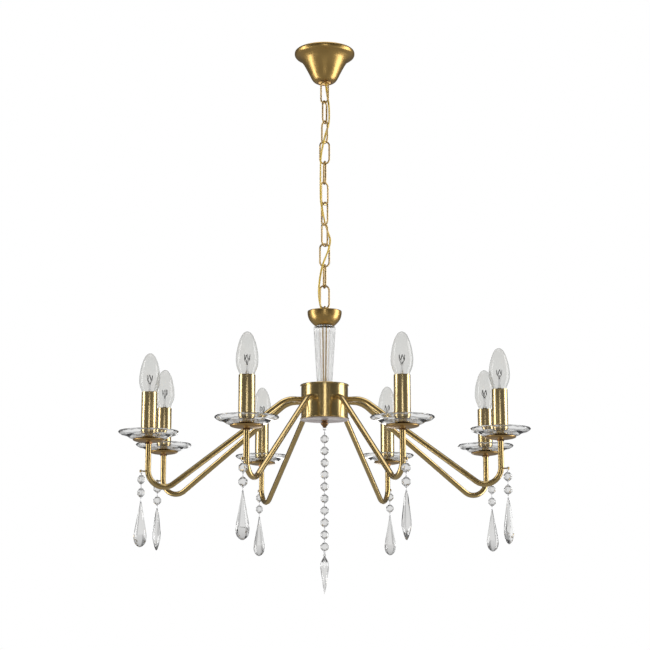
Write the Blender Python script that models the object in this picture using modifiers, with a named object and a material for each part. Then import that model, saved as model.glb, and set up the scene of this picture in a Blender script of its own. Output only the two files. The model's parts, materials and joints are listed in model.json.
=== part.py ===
"""Eight-arm brass and glass chandelier on a chain.

The origin is the middle of the ceiling plane, +Z is up, and azimuth 0 points along +X.
Sizes in the constants are millimetres, and MM turns them into Blender's metres.
"""

import math

import bmesh
import bpy
from mathutils import Matrix, Vector

MM = 0.001
GAP = 0.3  # between pieces that touch

# Ceiling end
CANOPY_OUTLINE = [
    (49, 0), (53.6, -3), (52.8, -8.6), (47, -14.3), (40.5, -18.6), (36.5, -24.8), (31.4, -34.3), (24.6, -48),
    (18.8, -56), (12.6, -59),
]
CANOPY_WALL = 1.2
CROSSBAR = (90, 16, 3)
CROSSBAR_SCREW_SPACING = 70
CROSSBAR_SCREW_HOLE_R = 2.4

# Chain: each link's turn about Z, from the canopy down. Two links in a row share a node.
LINK_YAWS = [-38, 65, -54, 0, -78, 46, -51, 54, 5, -78, 17]
LINK_LENGTH = 44.1
LINK_WIDTH = 19.5
LINK_WIRE = 3.2
LINK_GAP = 0.6  # where two links swing on each other
CHAIN_TOP = -53.3
LOOP_WIRE = 3.0
LOOP_RADIUS = 6.5

# Supply flex, woven through the links
FLEX_DIAMETER = 3.6
FLEX_ROUTE = [
    (2.5, 9, -40), (2.5, 9, -60), (5, 8.5, -80), (7.6, 6.5, -100), (8.2, 4.8, -122), (7, 3, -136),
    (3.6, 0, -148), (1, -4, -158), (-1.2, -9.4, -170), (-4, -10.8, -183), (-6.6, -10.5, -202),
    (-7.2, -10.5, -228), (-7.2, -10.5, -252), (-6.6, -9.5, -278), (-4.6, -4.5, -290), (-2.8, 1.5, -299),
    (-0.6, 7, -309), (2.4, 11, -320), (6, 11.6, -332), (9.3, 6.4, -343), (9.3, -1.5, -354),
    (7, -7.5, -366), (3.5, -10, -377), (-1.5, -11.8, -390), (-5, -10.8, -402), (-8, -9, -418),
    (-10, -8, -438), (-9.2, -8, -457), (-6.5, -8.2, -472), (-6, -8.2, -486), (-6, -8.2, -500.3),
]

# Bowl and column
BOWL_OUTLINE = [(29.6, -475.3), (29.3, -482), (27.3, -489), (22.6, -496), (17.6, -500.7), (15.8, -502)]
BOWL_WALL = 1.4
COLUMN_TOP = (19.4, -502.3)
COLUMN_BOTTOM = (13.0, -603.7)
COLUMN_BORE = 5.0
COLUMN_SIDES = 12
CENTRE_TUBE_R = 3.5

# Hub
HUB_TOP = -604.0
HUB_CAP_THICKNESS = 4.0
HUB_BOTTOM = -666.3
HUB_PLATE_THICKNESS = 3.6
HUB_DRUM_R = 40.4
HUB_CAP_R = 42.1
HUB_WALL = 1.5

# Arms
ARM_COUNT = 8
FIRST_ARM_AZIMUTH = 22.5
ARM_LEVEL = -632.5
ARM_TUBE_R = 4.7
ARM_RADIUS = 311.7
SHOULDER_START = 55.0
SHOULDER_RADIUS = 45.0
BEND_RADIUS = 27.0
BEND_LEVEL = -759.6
# how far each arm's outer end stands above the designed level, in the order of the arms
ARM_SETTLING = (0, 0, -1.5, 2.0, -3.0, 0, 0, 1.8)
RISER_TOP = -714.0
NUT = (6.2, 3.5)
CUP_RADIUS = 25.0
CUP_TOP = -709.5
CUP_WALL = 1.4
NECK_R = 6.7
SEAT_TOP = -696.3
SEAT_THICKNESS = 1.6
PEG_LEVEL = -762.0
PEG_R = 1.4
PEG_KNOB_R = 2.4
PEG_REACH = 14.0

# Candle
BOBECHE_RADIUS = 50.0
BOBECHE_RIM = -695.4
BOBECHE_FLOOR = -706.2
BOBECHE_GLASS = 3.0
BOBECHE_RIM_GLASS = 4.0
BOBECHE_SIDES = 16
SLEEVE_R = 13.0
SLEEVE_WALL = 1.0
SLEEVE_TOP = -631.8
BULB_TIP = -564.3
BULB_OUTLINE = [
    (4.4, -1.2), (7.8, -4.6), (12.1, -13.9), (15.2, -25), (17.2, -37), (17.5, -45), (15.7, -55),
    (11.4, -65.5), (9.3, -75),
]
# how far each bulb is screwed out of its middle place, in the order of the arms
BULB_SEATING = (3.5, -1.5, -2.0, 2.0, -2.8, 0, 0, 1.2)
BULB_BASE = [(6.9, -76), (6.9, -97), (3.5, -100.5)]

# Crystal
BEAD_R = 7.0  # middle to flat side
BEAD_TABLE_R = 3.6
BEAD_THICKNESS = 7.0
PIN_R = 0.7
DROP_OFFSET = 11.0  # from the riser's axis
DROP_RING = (3.6, 0.9)  # middle radius and wire radius
DROP_BEADS = (-775.5, -797.0)
TEARDROP_TOP = -812.0
TEARDROP_BOTTOM = -884.5
TEARDROP_WIDTH = 21.0
TEARDROP_DEPTH = 15.0
TEARDROP_WIDTHS = [  # share of the height down, and share of the full width there
    (0.0, 0.10), (0.10, 0.17), (0.55, 0.72), (0.76, 1.0), (0.90, 0.86), (0.97, 0.5), (1.0, 0.15),
]
# world direction that each drop's flat side faces, in degrees, in the order of the arms
DROP_FACINGS = (-82, -97, -100, 10, -95, -84, -12, -45)

# Finial and bottom strand
FINIAL_OUTLINE = [
    (5.6, -666.6), (5.6, -668.5), (3.8, -669.3), (6.5, -670.4), (6.8, -671.8), (3.6, -676.3), (1.7, -679.4),
]
FINIAL_RING = (3.0, 0.8)
FINIAL_RING_LEVEL = -681.4
STRAND_BEADS = 10
STRAND_FIRST = -698.8
STRAND_PITCH = 20.34
SPEAR_RING = (1.6, 0.5)
SPEAR_BEAD_R = 2.6
SPEAR_TOP = -898.0
SPEAR_BOTTOM = -961.7
SPEAR_R = 7.45

BRASS = ("brass", (0.55, 0.38, 0.15), 0.28, 1.0, 0.0)
STEEL = ("zinc_steel", (0.6, 0.6, 0.6), 0.4, 1.0, 0.0)
PALE_METAL = ("pale_metal", (0.80, 0.77, 0.76), 0.35, 1.0, 0.0)
CLEAR_GLASS = ("clear_glass", (0.95, 0.96, 0.97), 0.02, 0.0, 1.0)
GOLD_FLEX = ("gold_flex", (0.85, 0.62, 0.15), 0.3, 0.0, 0.4)


# Scene and materials


def clear_scene():
    for thing in list(bpy.data.objects):
        bpy.data.objects.remove(thing)


def new_collection(name):
    collection = bpy.data.collections.new(name)
    bpy.context.scene.collection.children.link(collection)
    return collection


clear_scene()
MODEL = new_collection("multi_arm_chandelier")
HELPERS = new_collection("helpers")


def give_material(obj, finish):
    _, colour, roughness, metallic, transmission = finish
    material = bpy.data.materials.new(obj.name)
    material.use_nodes = True
    shader = material.node_tree.nodes["Principled BSDF"]
    shader.inputs["Base Color"].default_value = (*colour, 1)
    shader.inputs["Roughness"].default_value = roughness
    shader.inputs["Metallic"].default_value = metallic
    shader.inputs["Transmission Weight"].default_value = transmission
    obj.data.materials.clear()
    obj.data.materials.append(material)


def evaluated_mesh(obj, name):
    """A plain mesh of the object as its modifiers or bevel make it, with the caps welded."""
    bpy.context.view_layer.update()
    graph = bpy.context.evaluated_depsgraph_get()
    mesh = bpy.data.meshes.new_from_object(obj.evaluated_get(graph))
    mesh.name = name
    mesh.transform(obj.matrix_world)
    shape = bmesh.new()
    shape.from_mesh(mesh)
    bmesh.ops.remove_doubles(shape, verts=shape.verts, dist=1e-6)
    shape.to_mesh(mesh)
    shape.free()
    return mesh


def piece(name, mesh, finish, smooth_deg=35):
    """The named sub-part that a mesh becomes."""
    obj = bpy.data.objects.new(name, mesh.copy())
    obj.data.name = name
    MODEL.objects.link(obj)
    obj.data.shade_smooth()
    obj.data.set_sharp_from_angle(angle=math.radians(smooth_deg))
    give_material(obj, finish)
    return obj


# Shapes, each a mesh in metres


def smooth_line(points, per_span):
    """Points on a Catmull-Rom curve through the given points."""
    ends = [Vector(point) for point in (points[0], *points, points[-1])]
    line = []
    for a, b, c, d in zip(ends, ends[1:], ends[2:], ends[3:]):
        slope = c - a
        squared = 2 * a - 5 * b + 4 * c - d
        cubed = 3 * b - a - 3 * c + d
        for step in range(per_span):
            t = step / per_span
            line.append((2 * b + slope * t + squared * t**2 + cubed * t**3) / 2)
    return [*line, ends[-1]]


def shell_profile(outline, wall):
    """A closed profile: down the outline, and back up at wall inside it. Both ends are level."""
    inner = []
    for i, (r, z) in enumerate(outline):
        r0, z0 = outline[max(i - 1, 0)]
        r1, z1 = outline[min(i + 1, len(outline) - 1)]
        along = math.hypot(r1 - r0, z1 - z0)
        inner.append((r + wall * (z1 - z0) / along, z - wall * (r1 - r0) / along))
    inner[0] = (inner[0][0], outline[0][1])
    inner[-1] = (outline[-1][0], inner[-1][1])
    return [*outline, *reversed(inner)]


def turned(profile, steps, closed=False):
    """The mesh that the profile (r, z) sweeps round Z. It runs down its outer side."""
    shape = bmesh.new()
    points = [shape.verts.new((r * MM, 0, z * MM)) for r, z in profile]
    for one, two in zip(points, points[1:] + points[:1] if closed else points[1:]):
        shape.edges.new((one, two))
    mesh = bpy.data.meshes.new("profile")
    shape.to_mesh(mesh)
    shape.free()
    obj = bpy.data.objects.new("profile", mesh)
    HELPERS.objects.link(obj)
    screw = obj.modifiers.new("turn", "SCREW")
    screw.steps = screw.render_steps = steps
    screw.use_merge_vertices = True
    screw.merge_threshold = 1e-6
    made = evaluated_mesh(obj, "turned")
    bpy.data.objects.remove(obj)
    return made


def solid_turned(outline, steps):
    """A turned solid with no bore: the outline starts and ends on the axis."""
    return turned([(0, outline[0][1]), *outline, (0, outline[-1][1])], steps)


def cylinder(radius, low, high, steps=12):
    return solid_turned([(radius, high), (radius, low)], steps)


def tube(points, radius, sides_level=2, cyclic=False):
    """A round bar of the given radius along the points. It has 4 + 2 * sides_level sides."""
    curve = bpy.data.curves.new("route", "CURVE")
    curve.dimensions = "3D"
    curve.bevel_depth = radius * MM
    curve.bevel_resolution = sides_level
    curve.use_fill_caps = True
    spline = curve.splines.new("POLY")
    spline.points.add(len(points) - 1)
    for point, place in zip(spline.points, points):
        point.co = (*(value * MM for value in place), 1)
    spline.use_cyclic_u = cyclic
    obj = bpy.data.objects.new("route", curve)
    HELPERS.objects.link(obj)
    made = evaluated_mesh(obj, "tube")
    bpy.data.objects.remove(obj)
    return made


def box(size, middle):
    shape = bmesh.new()
    bmesh.ops.create_cube(shape, size=1)
    bmesh.ops.scale(shape, vec=[value * MM for value in size], verts=shape.verts)
    bmesh.ops.translate(shape, vec=[value * MM for value in middle], verts=shape.verts)
    mesh = bpy.data.meshes.new("box")
    shape.to_mesh(mesh)
    shape.free()
    return mesh


def moved(mesh, place=(0, 0, 0), turn=0.0, tilt=0.0):
    """A copy, tilted about Y, then turned about Z, both in degrees, then moved by place."""
    made = mesh.copy()
    tilting = Matrix.Rotation(math.radians(tilt), 4, "Y")
    turning = Matrix.Rotation(math.radians(turn), 4, "Z")
    made.transform(Matrix.Translation(Vector(place) * MM) @ turning @ tilting)
    return made


def combined(meshes, operation="UNION"):
    """One mesh of the first mesh joined with, or cut by, each of the others in turn."""
    whole = bpy.data.objects.new("whole", meshes[0].copy())
    HELPERS.objects.link(whole)
    others = []
    for mesh in meshes[1:]:
        other = bpy.data.objects.new("other", mesh)
        other.hide_render = True
        other.display_type = "WIRE"
        HELPERS.objects.link(other)
        others.append(other)
        joining = whole.modifiers.new("join", "BOOLEAN")
        joining.operation = operation
        joining.object = other
    made = evaluated_mesh(whole, "combined")
    for obj in [whole, *others]:
        bpy.data.objects.remove(obj)
    return made


def ring(middle_radius, wire_radius, place, turn, sides=8, wire_sides_level=0):
    """A standing ring, with its plane along X before the turn about Z."""
    angles = [2 * math.pi * i / sides for i in range(sides)]
    circle = [(middle_radius * math.cos(a), 0, middle_radius * math.sin(a)) for a in angles]
    return moved(tube(circle, wire_radius, wire_sides_level, cyclic=True), place, turn)


# Ceiling end and chain


def make_crossbar():
    length, width, thickness = CROSSBAR
    bar = box(CROSSBAR, (0, 0, -thickness / 2))
    hole = cylinder(CROSSBAR_SCREW_HOLE_R, -2 * thickness, thickness, 8)
    holes = [moved(hole, (side * CROSSBAR_SCREW_SPACING / 2, 0, 0)) for side in (-1, 1)]
    piece("ceiling_crossbar", combined([bar, *holes], "DIFFERENCE"), STEEL)


def make_canopy():
    profile = shell_profile(CANOPY_OUTLINE, CANOPY_WALL)
    piece("canopy", turned(profile, 20, closed=True), BRASS)


def link_contact(number):
    """The height of the wire's middle at the bottom of a link, 0 being the first."""
    inner = LINK_LENGTH - LINK_WIRE
    pitches = sum(inner - LINK_WIRE - (LINK_GAP if i % 2 else -GAP / 2) for i in range(number))
    return CHAIN_TOP - LINK_WIRE / 2 - inner - pitches


def make_link(number):
    """One long link, with half-round ends, hanging with its lowest wire at its contact."""
    bend = (LINK_WIDTH - LINK_WIRE) / 2
    straight = LINK_LENGTH - LINK_WIDTH
    route = []
    for side, end in ((1, straight / 2), (-1, -straight / 2)):
        for i in range(7):
            angle = math.pi * i / 6
            route.append((side * bend * math.cos(angle), 0, end + side * bend * math.sin(angle)))
    middle = link_contact(number) + (LINK_LENGTH - LINK_WIRE) / 2
    return moved(tube(route, LINK_WIRE / 2, 1, True), (0, 0, middle), LINK_YAWS[number])


def make_chain():
    for first in range(0, len(LINK_YAWS), 2):
        links = [make_link(n) for n in range(first, min(first + 2, len(LINK_YAWS)))]
        piece(f"chain_links_{first // 2 + 1}", combined(links), BRASS)


def make_canopy_loop():
    """The stud and ring under the crossbar. The ring's lowest wire carries the first link."""
    low = CHAIN_TOP - LINK_WIRE - GAP - LOOP_WIRE / 2
    middle = low + LOOP_RADIUS
    hoop = ring(LOOP_RADIUS, LOOP_WIRE / 2, (0, 0, middle), LINK_YAWS[0] + 90, 14, 1)
    stud = cylinder(4, middle + LOOP_RADIUS - 1, -CROSSBAR[2] - GAP)
    nut = cylinder(7.5, middle + LOOP_RADIUS + 8, middle + LOOP_RADIUS + 13, 6)
    piece("canopy_loop", combined([hoop, stud, nut]), BRASS)


def make_flex():
    route = smooth_line(FLEX_ROUTE, 2)
    piece("supply_flex", tube(route, FLEX_DIAMETER / 2), GOLD_FLEX, 60)


# Bowl, column, hub


def make_bowl():
    floor = BOWL_OUTLINE[-1][1]
    inner = [(r - BOWL_WALL, max(z, floor + BOWL_WALL)) for r, z in BOWL_OUTLINE]
    shell = [(0, floor + BOWL_WALL), *inner[::-1], *BOWL_OUTLINE, (0, floor)]
    piece("bowl", turned(shell, 24), BRASS)


def make_bowl_loop():
    """The eye on a stem that stands on the bowl's floor. Its top wire hangs in the last link."""
    top = link_contact(len(LINK_YAWS) - 1) + LINK_WIRE / 2 + LOOP_WIRE / 2 + GAP
    hoop = ring(LOOP_RADIUS, LOOP_WIRE / 2, (0, 0, top - LOOP_RADIUS), LINK_YAWS[-1] + 90, 14, 1)
    floor = BOWL_OUTLINE[-1][1] + BOWL_WALL + GAP
    stem = cylinder(3, floor, top - 2 * LOOP_RADIUS + 1)
    foot = cylinder(6, floor, floor + 4, 6)
    piece("bowl_loop", combined([hoop, stem, foot]), BRASS)


def make_column():
    """The tapered glass column, faceted round its axis, with a bore for the centre tube."""
    top_r, top = COLUMN_TOP
    low_r, low = COLUMN_BOTTOM
    waist = top - 0.1 * (top - low)
    profile = [(COLUMN_BORE, top), (top_r - 2.5, top), (top_r, top - 4), (top_r - 1.6, waist)]
    profile += [(low_r + 0.4, low + 3), (low_r - 1, low), (COLUMN_BORE, low)]
    piece("glass_column", turned(profile, COLUMN_SIDES, closed=True), CLEAR_GLASS, 5)
    tube_top = BOWL_OUTLINE[-1][1] - GAP
    piece("centre_tube", cylinder(CENTRE_TUBE_R, HUB_TOP + GAP, tube_top), BRASS)


def make_hub():
    cap_low = HUB_TOP - HUB_CAP_THICKNESS
    plate_top = HUB_BOTTOM + HUB_PLATE_THICKNESS
    cap = [(HUB_CAP_R - 1.5, HUB_TOP), (HUB_CAP_R, HUB_TOP - 1.5), (HUB_CAP_R, cap_low)]
    piece("hub_top_cap", solid_turned(cap, 24), BRASS)
    inner = HUB_DRUM_R - HUB_WALL
    high, low = cap_low - GAP, plate_top + GAP
    wall = [(HUB_DRUM_R, high), (HUB_DRUM_R, low), (inner, low), (inner, high)]
    piece("hub_drum", turned(wall, 24, closed=True), BRASS)
    plate = [(HUB_CAP_R, plate_top), (HUB_CAP_R, HUB_BOTTOM + 0.8), (HUB_CAP_R - 0.8, HUB_BOTTOM)]
    piece("hub_bottom_plate", solid_turned(plate, 24), PALE_METAL)


def make_finial():
    body = solid_turned(FINIAL_OUTLINE, 14)
    hoop = ring(*FINIAL_RING, (0, 0, FINIAL_RING_LEVEL), 0)
    piece("finial", combined([body, hoop]), BRASS)


# Arms


def arm_route(rise):
    """The arm's middle line in its own X-Z plane, from the hub out to the riser's top.

    The straight slope is the line that touches the shoulder's circle from above and the bend's from below.
    The outer end stands higher than designed by rise.
    """
    shoulder = Vector((SHOULDER_START, ARM_LEVEL - SHOULDER_RADIUS))
    bend = Vector((ARM_RADIUS - BEND_RADIUS, BEND_LEVEL + rise))
    between = bend - shoulder
    slope = math.atan2(-between.y, between.x) + math.asin((SHOULDER_RADIUS + BEND_RADIUS) / between.length)
    start = HUB_DRUM_R * math.cos(math.pi / 24) + GAP
    route = [(start, 0, ARM_LEVEL)]
    for i in range(4):
        angle = slope * i / 3
        x = shoulder.x + SHOULDER_RADIUS * math.sin(angle)
        route.append((x, 0, shoulder.y + SHOULDER_RADIUS * math.cos(angle)))
    for i in range(9):
        angle = (math.pi / 2 + slope) * (i / 8 - 1)
        route.append((bend.x + BEND_RADIUS * math.cos(angle), 0, bend.y + BEND_RADIUS * math.sin(angle)))
    route.append((ARM_RADIUS, 0, RISER_TOP + rise + CUP_WALL / 2))
    return route


def arm_mesh(rise):
    """Tube, nut, cup, neck, sleeve seat and peg of the arm along +X, joined as they are on the real arm."""
    nut_r, nut_height = NUT
    bar = tube(arm_route(rise), ARM_TUBE_R)
    nut = cylinder(nut_r, RISER_TOP - nut_height, RISER_TOP + 0.5, 6)
    outer = [(CUP_RADIUS, CUP_TOP), (CUP_RADIUS - 0.8, CUP_TOP - 1.6), (nut_r + 1, RISER_TOP)]
    inner = [(0, RISER_TOP + CUP_WALL), (nut_r, RISER_TOP + CUP_WALL), (CUP_RADIUS - CUP_WALL, CUP_TOP)]
    cup = turned([*inner, *outer, (0, RISER_TOP)], 16)
    under_seat = SEAT_TOP - SEAT_THICKNESS
    candle = [(SLEEVE_R, SEAT_TOP), (SLEEVE_R, under_seat), (NECK_R, under_seat), (NECK_R, RISER_TOP + 0.4)]
    candle = solid_turned(candle, 12)
    neck, knob = PEG_REACH - 1.6, PEG_REACH
    peg = [(PEG_KNOB_R, knob), (PEG_KNOB_R, neck), (PEG_R, neck), (PEG_R, 2.5)]
    peg = moved(solid_turned(peg, 6), (ARM_RADIUS, 0, PEG_LEVEL + rise), tilt=90)
    upright = [moved(mesh, (ARM_RADIUS, 0, rise)) for mesh in (nut, cup, candle)]
    return combined([bar, peg, *upright])


def bobeche_mesh():
    """A glass dish with a flat floor, a bore for the neck and a raised faceted rim."""
    bore = NECK_R + 0.8
    low = BOBECHE_FLOOR - BOBECHE_GLASS
    rim_low = BOBECHE_RIM - BOBECHE_RIM_GLASS
    profile = [(BOBECHE_RADIUS, BOBECHE_RIM), (BOBECHE_RADIUS, rim_low), (CUP_RADIUS, low), (bore, low)]
    profile += [(bore, BOBECHE_FLOOR), (CUP_RADIUS - 2, BOBECHE_FLOOR)]
    return turned(profile, BOBECHE_SIDES, closed=True)


def sleeve_mesh():
    low = SEAT_TOP + GAP
    inner = SLEEVE_R - SLEEVE_WALL
    wall = [(SLEEVE_R, SLEEVE_TOP), (SLEEVE_R, low), (inner, low), (inner, SLEEVE_TOP)]
    return turned(wall, 12, closed=True)


def bulb_mesh():
    outline = [(r, BULB_TIP + z) for r, z in [*BULB_OUTLINE, *BULB_BASE]]
    return turned([(0, BULB_TIP), *outline, (0, outline[-1][1])], 12)


# Crystal


def bead_mesh(middle):
    """An octagonal bead, standing on edge with its flat sides along Y."""
    half = BEAD_THICKNESS / 2
    corner = BEAD_R / math.cos(math.pi / 8)
    outline = [(BEAD_TABLE_R, half), (corner, 0.8), (corner, -0.8), (BEAD_TABLE_R, -half)]
    flat = moved(solid_turned(outline, 8), turn=22.5)
    flat.transform(Matrix.Rotation(math.pi / 2, 4, "X"))
    return moved(flat, (0, 0, middle))


def pin(low, high):
    return cylinder(PIN_R, low, high, 5)


def teardrop_mesh():
    """A faceted prism, narrow at the top and round at the bottom, flatter along Y."""
    height = TEARDROP_TOP - TEARDROP_BOTTOM
    half = TEARDROP_WIDTH / 2
    outline = [(half * width, TEARDROP_TOP - height * down) for down, width in TEARDROP_WIDTHS]
    drop = moved(solid_turned(outline, 8), turn=22.5)
    drop.transform(Matrix.Scale(TEARDROP_DEPTH / TEARDROP_WIDTH, 4, (0, 1, 0)))
    return drop


def drop_mesh(azimuth, facing):
    """Ring, two beads and a teardrop. The ring's plane is square to the arm, the rest faces its own way."""
    ring_r, wire_r = DROP_RING
    middle = PEG_LEVEL + PEG_R + GAP - (ring_r - wire_r)
    hoop = ring(ring_r, wire_r, (0, 0, middle), azimuth + 90)
    upper, lower = DROP_BEADS
    parts = [bead_mesh(upper), bead_mesh(lower), teardrop_mesh()]
    parts += [pin(upper + BEAD_R - 1, middle - ring_r), pin(lower + BEAD_R - 1, upper - BEAD_R + 1)]
    parts += [pin(TEARDROP_TOP - 1, lower - BEAD_R + 1)]
    faced = [moved(part, turn=facing + 90) for part in parts]
    out = Matrix.Rotation(math.radians(azimuth), 3, "Z") @ Vector((ARM_RADIUS + DROP_OFFSET, 0, 0))
    return moved(combined([hoop, *faced]), out)


def make_arms():
    carried = {
        "bobeche": (bobeche_mesh(), CLEAR_GLASS, 5),
        "candle_sleeve": (sleeve_mesh(), BRASS, 35),
        "bulb": (bulb_mesh(), CLEAR_GLASS, 60),
    }
    for number, (rise, seating) in enumerate(zip(ARM_SETTLING, BULB_SEATING)):
        azimuth = FIRST_ARM_AZIMUTH + number * 360 / ARM_COUNT
        piece(f"arm_{number + 1}", moved(arm_mesh(rise), turn=azimuth), BRASS)
        for kind, (mesh, finish, smooth_deg) in carried.items():
            level = rise + seating if kind == "bulb" else rise
            turned_out = moved(moved(mesh, (ARM_RADIUS, 0, level)), turn=azimuth)
            piece(f"{kind}_{number + 1}", turned_out, finish, smooth_deg)
        drop = moved(drop_mesh(azimuth, DROP_FACINGS[number]), (0, 0, rise))
        piece(f"crystal_drop_{number + 1}", drop, CLEAR_GLASS, 5)


def make_strand():
    """Ten beads joined by pins under a ring that hangs in the finial's, and a small ring at the end."""
    ring_r, wire_r = FINIAL_RING
    hoop_middle = FINIAL_RING_LEVEL - 2 * ring_r + 2 * wire_r + GAP
    levels = [STRAND_FIRST - i * STRAND_PITCH for i in range(STRAND_BEADS)]
    parts = [ring(ring_r, wire_r, (0, 0, hoop_middle), 90)]
    parts.append(pin(levels[0] + BEAD_R - 1, hoop_middle - ring_r))
    parts += [bead_mesh(level) for level in levels]
    parts += [pin(below + BEAD_R - 1, above - BEAD_R + 1) for above, below in zip(levels, levels[1:])]
    end_r, end_wire = SPEAR_RING
    end_middle = levels[-1] - BEAD_R - end_r + end_wire / 2
    parts.append(ring(end_r, end_wire, (0, 0, end_middle), 0))
    piece("bead_strand", combined(parts), CLEAR_GLASS, 5)

    hook_middle = end_middle - 2 * end_r + 2 * end_wire + GAP
    hook = ring(end_r, end_wire, (0, 0, hook_middle), 90)
    bead_middle = hook_middle - end_r - SPEAR_BEAD_R + 0.3
    half = SPEAR_BEAD_R
    bead = [(half * 0.5, bead_middle + half), (half, bead_middle), (half * 0.5, bead_middle - half)]
    spear = [(1.2, SPEAR_TOP), (3.6, SPEAR_TOP - 3), (SPEAR_R, SPEAR_TOP - 13)]
    spear += [(4.2, SPEAR_BOTTOM + 20), (0.8, SPEAR_BOTTOM)]
    neck = pin(SPEAR_TOP - 1, bead_middle)
    parts = [hook, solid_turned(bead, 8), solid_turned(spear, 8), neck]
    piece("spear_drop", combined(parts), CLEAR_GLASS, 5)


def main():
    make_crossbar()
    make_canopy()
    make_canopy_loop()
    make_chain()
    make_flex()
    make_bowl()
    make_bowl_loop()
    make_column()
    make_hub()
    make_finial()
    make_arms()
    make_strand()


main()
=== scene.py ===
"""The looks of the eight-arm chandelier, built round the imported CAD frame.

Lengths in the constants and profiles are millimetres, and MM turns them into Blender's metres.
Z is up, the ceiling plane is z = 0, and the front view looks along +Y.
"""

import json
import math

import bmesh
import bpy
from mathutils import Matrix, Vector


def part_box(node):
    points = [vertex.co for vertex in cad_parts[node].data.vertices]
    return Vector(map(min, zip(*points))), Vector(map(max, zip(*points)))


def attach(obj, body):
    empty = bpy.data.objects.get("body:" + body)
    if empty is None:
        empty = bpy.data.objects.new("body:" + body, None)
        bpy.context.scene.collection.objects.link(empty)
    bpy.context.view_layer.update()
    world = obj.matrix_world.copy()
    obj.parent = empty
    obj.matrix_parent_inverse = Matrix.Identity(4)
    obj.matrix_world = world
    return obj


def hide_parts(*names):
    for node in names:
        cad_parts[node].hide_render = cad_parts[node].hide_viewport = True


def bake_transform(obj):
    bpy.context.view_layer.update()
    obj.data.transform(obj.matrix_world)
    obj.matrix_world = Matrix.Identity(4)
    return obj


MM = 0.001

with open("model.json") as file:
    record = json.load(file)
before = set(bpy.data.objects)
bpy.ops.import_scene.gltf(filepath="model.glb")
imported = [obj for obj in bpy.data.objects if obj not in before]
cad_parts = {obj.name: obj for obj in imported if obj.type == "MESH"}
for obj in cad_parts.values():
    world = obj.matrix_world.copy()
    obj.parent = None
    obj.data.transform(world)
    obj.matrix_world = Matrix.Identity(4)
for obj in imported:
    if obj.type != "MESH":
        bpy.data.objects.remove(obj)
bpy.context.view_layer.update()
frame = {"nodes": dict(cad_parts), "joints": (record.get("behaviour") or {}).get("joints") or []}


def low(node):
    """The lowest height of a node, in millimetres."""
    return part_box(node)[0].z / MM


def high(node):
    """The greatest height of a node, in millimetres."""
    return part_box(node)[1].z / MM


def middle(node):
    """The middle of a node's box, level with the ceiling plane, in millimetres."""
    one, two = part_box(node)
    centre = (one + two) / 2 / MM
    return Vector((centre.x, centre.y, 0))


def joint_level(name):
    """Height of a hinge in millimetres."""
    return next(joint["pos_m"][2] for joint in frame["joints"] if joint["name"] == name) / MM


# ---- Camera, light and floor

CAMERA_PLACE = (0.0007, -2.636, -0.9954)  # metres
CAMERA_PITCH = 100.65  # degrees
CAMERA_LENS = 85.46  # millimetres, on a sensor 36 mm wide

camera = bpy.data.objects.new("camera", bpy.data.cameras.new("camera"))
camera.location = CAMERA_PLACE
camera.rotation_euler = (math.radians(CAMERA_PITCH), 0, 0)
camera.data.lens = CAMERA_LENS
camera.data.sensor_width = 36
bpy.context.scene.collection.objects.link(camera)
bpy.context.scene.camera = camera
bpy.context.scene.view_settings.view_transform = "Standard"


class Nodes:
    """Short calls for building a node tree."""

    def __init__(self, tree):
        self.tree = tree
        self.tree.nodes.clear()

    def add(self, kind, settings=(), **inputs):
        node = self.tree.nodes.new(kind)
        for name, value in dict(settings).items():
            setattr(node, name, value)
        for name, value in inputs.items():
            self.put(node, name.replace("_", " "), value)
        return node

    def put(self, node, socket, value):
        target = node.inputs[int(socket)] if str(socket).isdigit() else node.inputs[socket]
        if isinstance(value, bpy.types.NodeSocket):
            self.tree.links.new(value, target)
        else:
            target.default_value = value

    def math(self, operation, one, two=0.0):
        node = self.add("ShaderNodeMath", {"operation": operation})
        self.put(node, 0, one)
        self.put(node, 1, two)
        return node.outputs[0]

    def ranged(self, value, low_in, high_in, low_out, high_out):
        node = self.add("ShaderNodeMapRange", {"interpolation_type": "SMOOTHSTEP"})
        for name, number in (
            ("Value", value), ("From Min", low_in), ("From Max", high_in),
            ("To Min", low_out), ("To Max", high_out),
        ):
            self.put(node, name, number)
        return node.outputs["Result"]

    def noise(self, vector, scale, detail=2.0, roughness=0.5):
        node = self.add("ShaderNodeTexNoise", Scale=scale, Detail=detail, Roughness=roughness)
        self.put(node, "Vector", vector)
        return node.outputs["Fac"]

    def scaled(self, vector, scale):
        node = self.add("ShaderNodeMapping", Scale=scale)
        self.put(node, "Vector", vector)
        return node.outputs["Vector"]

    def ramp(self, value, stops):
        node = self.add("ShaderNodeValToRGB")
        self.put(node, "Fac", value)
        ramp = node.color_ramp
        while len(ramp.elements) < len(stops):
            ramp.elements.new(0.5)
        for element, (place, colour) in zip(ramp.elements, stops):
            element.position = place
            element.color = (*colour, 1)
        return node.outputs["Color"]


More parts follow.
